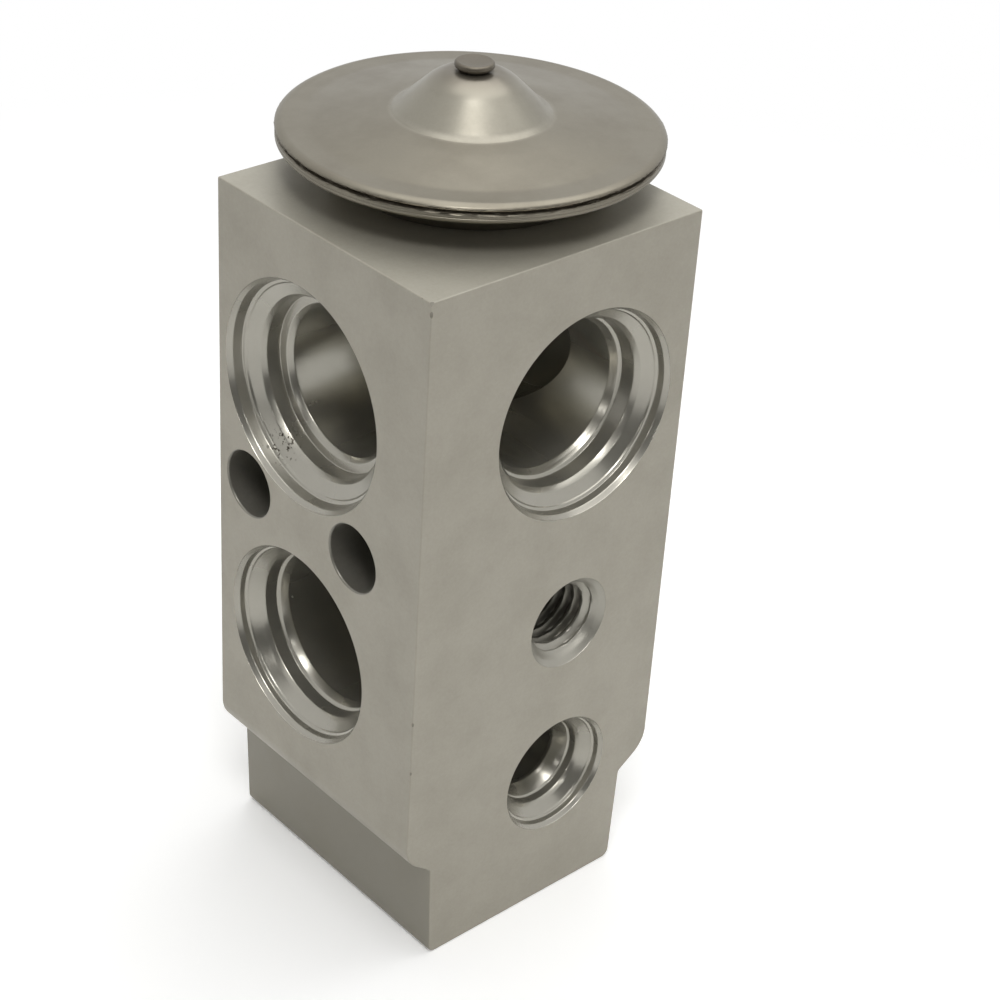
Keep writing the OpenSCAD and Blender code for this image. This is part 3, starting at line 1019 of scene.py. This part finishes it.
        # Tapped aluminium: as the ports at its chamfer, with painted shade down the thread
        tapped = Seat(
            "tapped_aluminium",
            metallic=0.6,
            roughness=0.36,
            axis=Axis.Y,
            centre=(0.0, -self.axis_front, self.tap_z),
            # Painted shade: darker down the thread than at the chamfer
            painted_bore_colour="#7f7c72",
            bore_from=2.4,
        )
        mesh = Thread().cutter()
        mesh.transform(into_face(Side.FRONT, self.axis_front, self.tap_z))
        cutters.append(put(mesh, tapped.build()))
        drilled = replace(DRILLED, centre=(0.0, 0.0, self.fix_z)).build()
        cutters.extend(put(self.fixing_waste(side), drilled) for side in (-1, 1))
        cutters.append(put(self.axis_waste(), drilled))
        bruised = BRUISED.build()
        cutters.extend(put(mesh, bruised) for mesh in self.dings())
        cut(item, cutters)
        modifier = item.modifiers.new("even_normals", "WEIGHTED_NORMAL")
        modifier.keep_sharp = True
        finish_piece(item, "block", Body.HOUSING, ["valve_body"])


@dataclass
class Head:
    """The welded diaphragm head."""

    block_top: float = 74.3
    radius: float = 17.9
    rim_low: float = 77.6
    film_low: float = 78.7
    film_high: float = 78.9
    rim_high: float = 79.45
    clamp_w: float = 3.6
    neck_r: float = 9.98
    neck_bore_r: float = 8.5
    skirt_r: float = 12.2
    wall: float = 0.7
    plate_rise: float = 1.2
    dome_r: float = 7.4
    dome_top_r: float = 4.4
    dome_h: float = 3.9
    plug_r: float = 1.85
    plug_h: float = 0.85
    film_drop: float = 0.9
    film_flat_r: float = 10.0
    steps: int = 256

    def weld(self, rows: set[int], depth: float) -> Shift:
        """Returns the uneven surface of the weld.

        Args:
            rows: numbers of the profile's corners that lie in the weld.
            depth: how uneven they are.

        Returns:
            The shift for the lathe.
        """

        def shift(angle: float, number: int) -> Point:
            """Returns extra radius and height at an angle."""
            if number not in rows:
                wave = noise.noise(Vector((math.cos(angle), math.sin(angle), 3.0)) * 2.2)
                return (0.0, 0.03 * wave if number else 0.0)
            spot = Vector((math.cos(angle) * 17, math.sin(angle) * 17, number * 0.7))
            out = noise.noise(spot * 1.7) + 0.6 * noise.noise(spot * 4.1)
            return (depth * out, 0.35 * depth * noise.noise(spot * 2.9 + Vector((9, 2, 5))))

        return shift

    def upper(self) -> None:
        """Builds the upper cover with its raised centre."""
        r, low, high = self.radius, self.film_high, self.rim_high
        clamp = r - self.clamp_w
        dome_z = high + self.plate_rise
        top_z = dome_z + self.dome_h
        dome, top, plug, wall = self.dome_r, self.dome_top_r, self.plug_r, self.wall
        outer = [
            (clamp, low), (r - 0.55, low - 0.02), (r - 0.4, low), (r - 0.25, low + 0.02),
            (r - 0.08, low + 0.05), (r, low + 0.12), (r - 0.03, high - 0.33),
            (r - 0.12, high - 0.22), (r - 0.27, high - 0.13), (r - 0.46, high - 0.05),
            (r - 0.7, high), (r - 1.1, high), (clamp + 0.9, high + 0.05, 0.4),
            (clamp + 0.1, high + 0.17, 0.6), (dome + 2.2, dome_z - 0.29, 0.6),
            (dome + 1.1, dome_z - 0.16), (dome, dome_z - 0.05, 0.12),
            (dome - 0.5, dome_z + 0.27, 0.25), (top - 0.5, top_z - 0.78, 0.9),
            (plug + 0.75, top_z - 0.14, 0.5), (plug - 0.3, top_z - 0.06),
            (plug - 0.7, top_z), (plug - 0.7, top_z - wall),
        ]
        smooth = soften(outer, 0.2, 5)
        inner = [
            (top - 2.2, top_z - wall - 0.2), (top - 1.3, top_z - wall - 0.9),
            (dome - 1.1, dome_z + 0.1 - wall), (dome + 0.9, dome_z - wall - 0.16),
            (clamp - 1, high + 0.1 - wall), (clamp - 0.3, low + 0.05),
        ]
        rows = {i for i, (wide, z) in enumerate(smooth) if wide > r - 0.62 and z < low + 0.2}
        mesh = lathe("upper", smooth + inner, self.steps, self.weld(rows, 0.07), True)
        item = put(mesh, PRESSED.build())
        finish_piece(item, "upper_shell", Body.HOUSING, ["upper_cover"])

    def lower(self) -> None:
        """Builds the lower cover with its neck."""
        r, low, high = self.radius, self.rim_low, self.film_low
        clamp = r - self.clamp_w
        foot = self.block_top + 0.02
        base = self.block_top - 6.7
        outer = [
            (self.neck_bore_r, base), (self.neck_r - 0.5, base), (self.neck_r, base + 0.5),
            (self.neck_r, foot), (self.skirt_r - 0.2, foot), (self.skirt_r, foot + 0.2),
            (clamp + 0.6, low - 0.15), (clamp + 1.1, low), (r - 0.5, low),
            (r - 0.18, low + 0.12), (r - 0.03, low + 0.34), (r - 0.03, low + 0.5),
            (r - 0.1, low + 0.56), (r - 0.03, low + 0.62), (r - 0.04, high - 0.3),
            (r - 0.12, high - 0.17), (r - 0.3, high - 0.1), (r - 0.45, high - 0.04),
            (r - 0.55, high), (clamp, high),
        ]
        smooth = soften(outer, 0.3, 4)
        inner = [
            (clamp - 0.4, high - 0.2), (self.skirt_r - 0.9, foot + self.wall + 0.25),
            (self.skirt_r - 1.3, foot + self.wall), (self.neck_bore_r + 0.4, foot + 0.6),
            (self.neck_bore_r, foot + 0.2),
        ]
        rows = {i for i, (wide, z) in enumerate(smooth) if wide > r - 0.6 and z > high - 0.3}
        mesh = lathe("lower", smooth + inner, self.steps, self.weld(rows, 0.06), True)
        item = put(mesh, PRESSED.build())
        finish_piece(item, "lower_shell", Body.HOUSING, ["lower_cover"])

    def plug(self) -> None:
        """Builds the plug that closes the gas charge."""
        top = self.rim_high + self.plate_rise + self.dome_h
        r, h = self.plug_r, self.plug_h
        profile = [
            (0.0, top - self.wall - 0.8), (r - 0.9, top - self.wall - 0.8),
            (r - 0.72, top - self.wall - 0.6), (r - 0.72, top + 0.02),
            (r - 0.4, top + 0.02), (r - 0.3, top + 0.2 * h), (r - 0.05, top + 0.34 * h),
            (r, top + 0.46 * h), (r - 0.02, top + 0.84 * h), (r - 0.22, top + 0.98 * h),
            (r - 0.6, top + 0.9 * h), (0.5, top + 0.84 * h), (0.0, top + 0.83 * h),
        ]
        mesh = lathe("plug", soften(profile, 0.12, 4), 96)
        item = put(mesh, PLUG.build())
        finish_piece(item, "charge_rivet", Body.HOUSING, ["charge_plug"])

    def film(self) -> None:
        """Builds the thin film, its middle set lower than its clamped edge; nothing here makes
        it move.
        """
        edge, clamp = self.radius - 0.5, self.radius - self.clamp_w - 0.3
        low, high, drop = self.film_low, self.film_high, self.film_drop
        flat, slope = self.film_flat_r, clamp - self.film_flat_r
        under = [
            (0.0, low - drop), (flat, low - drop),
            (flat + 0.35 * slope, low - 0.62 * drop),
            (flat + 0.65 * slope, low - 0.38 * drop), (clamp, low), (edge, low),
        ]
        rise, smooth = high - low, soften(under, 0.5, 5)
        profile = smooth + [(radius, height + rise) for radius, height in reversed(smooth)]
        item = put(lathe("film", profile), FILM.build())
        bend = Bend(Body.STEM, low - 0.1, low - drop + rise)
        finish_piece(item, "spring_film", Body.HOUSING, ["diaphragm"], bend)

    def build(self) -> None:
        """Builds the pieces of the head."""
        self.upper()
        self.lower()
        self.plug()
        self.film()


@dataclass
class Rings:
    """The three soft sealing rings, with rounded sections."""

    neck_r: float = 10.02
    sides: int = 24

    def ring(self, name: str, body: Body, node: str, section: Sequence[Point]) -> None:
        """Builds one ring, which stands for a CAD node, from its closed section."""
        item = put(lathe(name, section, 128, looped=True), RUBBER.build())
        finish_piece(item, name, body, [node])

    def build(self) -> None:
        """Builds the three rings from the places of their CAD nodes."""
        turns = [math.tau * i / self.sides for i in range(self.sides)]
        for name, body, node in (
            ("rod_ring", Body.HOUSING, "rod_seal"),
            ("screw_ring", Body.CARRIER, "screw_seal"),
        ):
            low, high = (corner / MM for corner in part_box(node))
            thick = (high.z - low.z) / 2
            radius, height = high.x - thick, (low.z + high.z) / 2
            section = [
                (radius + thick * math.cos(t), height + thick * math.sin(t)) for t in turns
            ]
            self.ring(name, body, node, section)
        low, high = (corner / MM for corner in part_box("head_ring"))
        inner, outer, middle = self.neck_r, high.x, (self.neck_r + high.x) / 2
        section = [
            (middle, low.z), (outer, low.z), (outer, high.z), (inner, high.z),
            (inner, low.z), (middle - 0.01, low.z),
        ]
        self.ring("head_ring_soft", Body.HOUSING, "head_ring", soften(section, 0.3, 5))


@dataclass
class Spring:
    """The valve spring, wound from round wire with flat closed ends."""

    mean_r: float = 3.2
    wire_r: float = 0.45
    turns: float = 4.5
    sides: int = 14
    steps: int = 44
    end_share: float = 0.15
    end_rise: float = 0.35

    def rise(self, share: float, span: float) -> float:
        """Returns the height of the wire at a share of its length: the ends lie flatter."""
        end = self.end_share * self.end_rise
        if share < self.end_share:
            return span * self.end_rise * share
        if share > 1 - self.end_share:
            return span * (1 - self.end_rise * (1 - share))
        middle = (share - self.end_share) / (1 - 2 * self.end_share)
        return span * (end + middle * (1 - 2 * end))

    def wire(self, name: str, low: float, span: float, first: int, last: int) -> Mesh:
        """Returns a stretch of the wound wire.

        Args:
            name: name of the mesh.
            low: height of the lowest wire's middle.
            span: height from there to the highest wire's middle.
            first: step at which the stretch starts.
            last: step at which it ends.

        Returns:
            The closed mesh in millimetres.
        """
        count = round(self.turns * self.steps)
        work = bmesh.new()
        rings = []
        for step in range(first, last + 1):
            share = step / count
            angle = math.tau * self.turns * share
            height = low + self.rise(share, span)
            ring = []
            for turn in (math.tau * side / self.sides for side in range(self.sides)):
                wide = self.mean_r + self.wire_r * math.cos(turn)
                up = height + self.wire_r * math.sin(turn)
                ring.append(work.verts.new(around(wide, angle, up)))
            rings.append(ring)
        skin(work, rings, capped=True)
        return mesh_from(name, work)

    def build(self) -> None:
        """Builds the spring where its CAD node lies, in two halves that meet midway.

        In the valve the screw lifts its lower half and the ball holder presses its upper half;
        here both halves stay where they are made.
        """
        low, high = (corner.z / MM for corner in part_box("valve_spring"))
        start, span = low + self.wire_r, high - low - 2 * self.wire_r
        count = round(self.turns * self.steps)
        half, middle = count // 2, (low + high) / 2
        lower = put(self.wire("lower_coil", start, span, 0, half), SPRING.build())
        upper = put(self.wire("upper_coil", start, span, half, count), SPRING.build())
        node = ["valve_spring"]
        lower_bend = Bend(Body.HOUSING, start, middle)
        upper_bend = Bend(Body.STEM, middle, high - self.wire_r)
        finish_piece(lower, "lower_coil", Body.CARRIER, node, lower_bend)
        finish_piece(upper, "upper_coil", Body.HOUSING, node, upper_bend)


@dataclass
class InnerParts:
    """The CAD parts inside the block that keep their shape and get a finish."""

    def build(self) -> None:
        """Puts the finishes on the CAD nodes."""
        finishes = {
            "stop_plate": STOP,
            "sensing_rod": ROD,
            "push_rod": PIN,
            "seal_retainer": RETAINER,
            "valve_ball": BALL,
            "ball_holder": HOLDER,
            "adjusting_screw": SCREW,
        }
        for node, finish in finishes.items():
            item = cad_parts[node]
            material = finish.build()
            if not item.data.materials:
                item.data.materials.append(material)
            for place in item.material_slots:
                place.material = material
            log.info("%s: %s", node, finish.name)


@dataclass(frozen=True)
class Lamp:
    """A soft square lamp that looks at the valve.

    Attributes:
        name: name of the lamp.
        at: its place in metres.
        size: its side in metres.
        power: its power in watts.
    """

    name: str
    at: Place
    size: float
    power: float

    def build(self) -> None:
        """Hangs the lamp, out of the camera's sight."""
        data = bpy.data.lights.new(self.name, "AREA")
        data.size = self.size
        data.energy = self.power
        item = add_item(self.name, data)
        item.visible_camera = False
        item.location = self.at
        look = Vector((0, 0, 0.04)) - Vector(self.at)
        item.rotation_euler = look.to_track_quat("-Z", "Y").to_euler()


@dataclass
class Studio:
    """The floor, the light and the camera.

    Lengths are in metres, but the camera's place is in millimetres.
    """

    lens: float = 84.1
    sensor: float = 36.0
    azimuth: float = -43.21
    elevation: float = 32.11
    roll: float = 3.78
    camera_at: Place = (-132.14, -147.73, 163.48)
    flag_r: float = 0.6
    flag_h: float = 0.55
    flag_from: float = -185.0
    flag_span: float = 100.0
    flag_parts: int = 24
    room_light: float = 0.35
    floor_half: float = 3.0
    floor_z: float = -0.00002
    floor_lift: float = 0.2
    white_from: float = 0.07
    white_at: float = 0.2
    lamps: tuple[Lamp, ...] = (
        Lamp("left_spot", (-0.49, -0.2, 0.25), 0.035, 0.12),
        Lamp("near_spot", (-0.25, -0.43, 0.38), 0.035, 0.12),
        Lamp("brow_softbox", (-0.19, -0.21, 0.55), 0.15, 1.0),
        Lamp("low_softbox", (0.03, -0.3, 0.035), 0.12, 0.04),
        Lamp("top_softbox", (0.13, 0.03, 0.55), 0.52, 1.8),
    )

    def camera(self) -> None:
        """Places the camera where the photograph was taken."""
        az, el, roll = (math.radians(v) for v in (self.azimuth, self.elevation, self.roll))
        back = Vector((math.sin(az) * math.cos(el), -math.cos(az) * math.cos(el), math.sin(el)))
        right = Vector((math.cos(az), math.sin(az), 0))
        up = back.cross(right)
        across = math.cos(roll) * right + math.sin(roll) * up
        above = -math.sin(roll) * right + math.cos(roll) * up
        data = bpy.data.cameras.new("camera")
        data.lens = self.lens
        data.sensor_width = self.sensor
        data.clip_start = 0.01
        data.clip_end = 20
        item = add_item("camera", data)
        turn = Matrix((across, above, back)).transposed().to_4x4()
        item.matrix_world = Matrix.Translation(Vector(self.camera_at) * MM) @ turn
        bpy.context.scene.camera = item

    def seen(self, tree: Tree) -> Socket:
        """Returns 1 for what the eye, gloss and glass see, and 0 for plain light."""
        path = add_node(tree, "LightPath").outputs
        seen = path["Is Camera Ray"]
        for ray in ("Is Transmission Ray", "Is Glossy Ray"):
            seen = calc(tree, "ADD", seen, path[ray], clamp=True)
        return seen

    def glow(self, tree: Tree, code: str, strength: float, kind: str = "Emission") -> Socket:
        """Returns a glow of one colour, for a surface or for the world."""
        return add_node(tree, kind, {"Color": srgb(code), "Strength": strength}).outputs[0]

    def swap(self, tree: Tree, share: Socket, first: Socket, second: Socket) -> Socket:
        """Returns the first shader, mixed with a share of the second."""
        return add_node(tree, "MixShader", {0: share, 1: first, 2: second}).outputs[0]

    def world(self) -> None:
        """Makes a white room: white to the eye, a little darker as light."""
        world = bpy.data.worlds.new("white_room")
        bpy.context.scene.world = world
        world.use_nodes = True
        tree = world.node_tree
        tree.nodes.clear()
        light = self.glow(tree, "#ffffff", self.room_light, "Background")
        white = self.glow(tree, "#ffffff", 1.0, "Background")
        room = self.swap(tree, self.seen(tree), light, white)
        add_node(tree, "OutputWorld", {"Surface": room})

    def flag(self) -> None:
        """Stands a bent dark card behind the camera, out of the eye's sight.

        Polished bores mirror it, which gives the metal its dark bands.
        """
        work = bmesh.new()
        rows = []
        for step in range(self.flag_parts + 1):
            angle = math.radians(self.flag_from + self.flag_span * step / self.flag_parts)
            edge = [around(self.flag_r, angle, z) for z in (0.0, self.flag_h)]
            rows.append([work.verts.new(spot) for spot in edge])
        for (low, high), (next_low, next_high) in zip(rows, rows[1:]):
            work.faces.new((low, next_low, next_high, high))
        material = new_material("dark_card")
        tree = material.node_tree
        card = add_node(tree, "BsdfDiffuse", {"Color": srgb("#454541"), "Roughness": 1.0})
        add_node(tree, "OutputMaterial", {"Surface": card.outputs["BSDF"]})
        item = put(mesh_from("flag", work, closed=False), material)
        item.visible_camera = False

    def floor(self) -> None:
        """Lays a plain pale floor: it keeps the valve's shadow and is white farther off."""
        work = bmesh.new()
        bmesh.ops.create_grid(work, x_segments=1, y_segments=1, size=self.floor_half)
        material = new_material("matt_white_paper")
        tree = material.node_tree
        inputs = {"Base Color": srgb("#fbfbfa"), "Roughness": 0.9, "Specular IOR Level": 0.0}
        sheet = add_node(tree, "BsdfPrincipled", inputs).outputs["BSDF"]
        seen = self.seen(tree)
        none = self.glow(tree, "#000000", 0.0)
        lifted = self.swap(tree, seen, none, self.glow(tree, "#ffffff", self.floor_lift))
        near = add_node(tree, "AddShader", {0: sheet, 1: lifted}).outputs[0]
        away = vector(tree, "LENGTH", add_node(tree, "TexCoord").outputs["Object"])
        far = calc(tree, "MULTIPLY", ramp(tree, away, self.white_from, self.white_at), seen)
        paper = self.swap(tree, far, near, self.glow(tree, "#ffffff", 1.0))
        add_node(tree, "OutputMaterial", {"Surface": paper})
        item = put(mesh_from("floor", work, closed=False), material)
        item.location.z = self.floor_z

    def build(self) -> None:
        """Builds the whole studio."""
        self.camera()
        self.world()
        self.floor()
        self.flag()
        for lamp in self.lamps:
            lamp.build()
        bpy.context.scene.view_settings.view_transform = "Standard"


def main() -> None:
    """Builds the studio and every piece in order."""
    logging.basicConfig(level=logging.INFO, format="%(message)s")
    for assembly in (Studio(), Block(), Head(), Rings(), Spring(), InnerParts()):
        assembly.build()


if __name__ == "__main__":
    main()
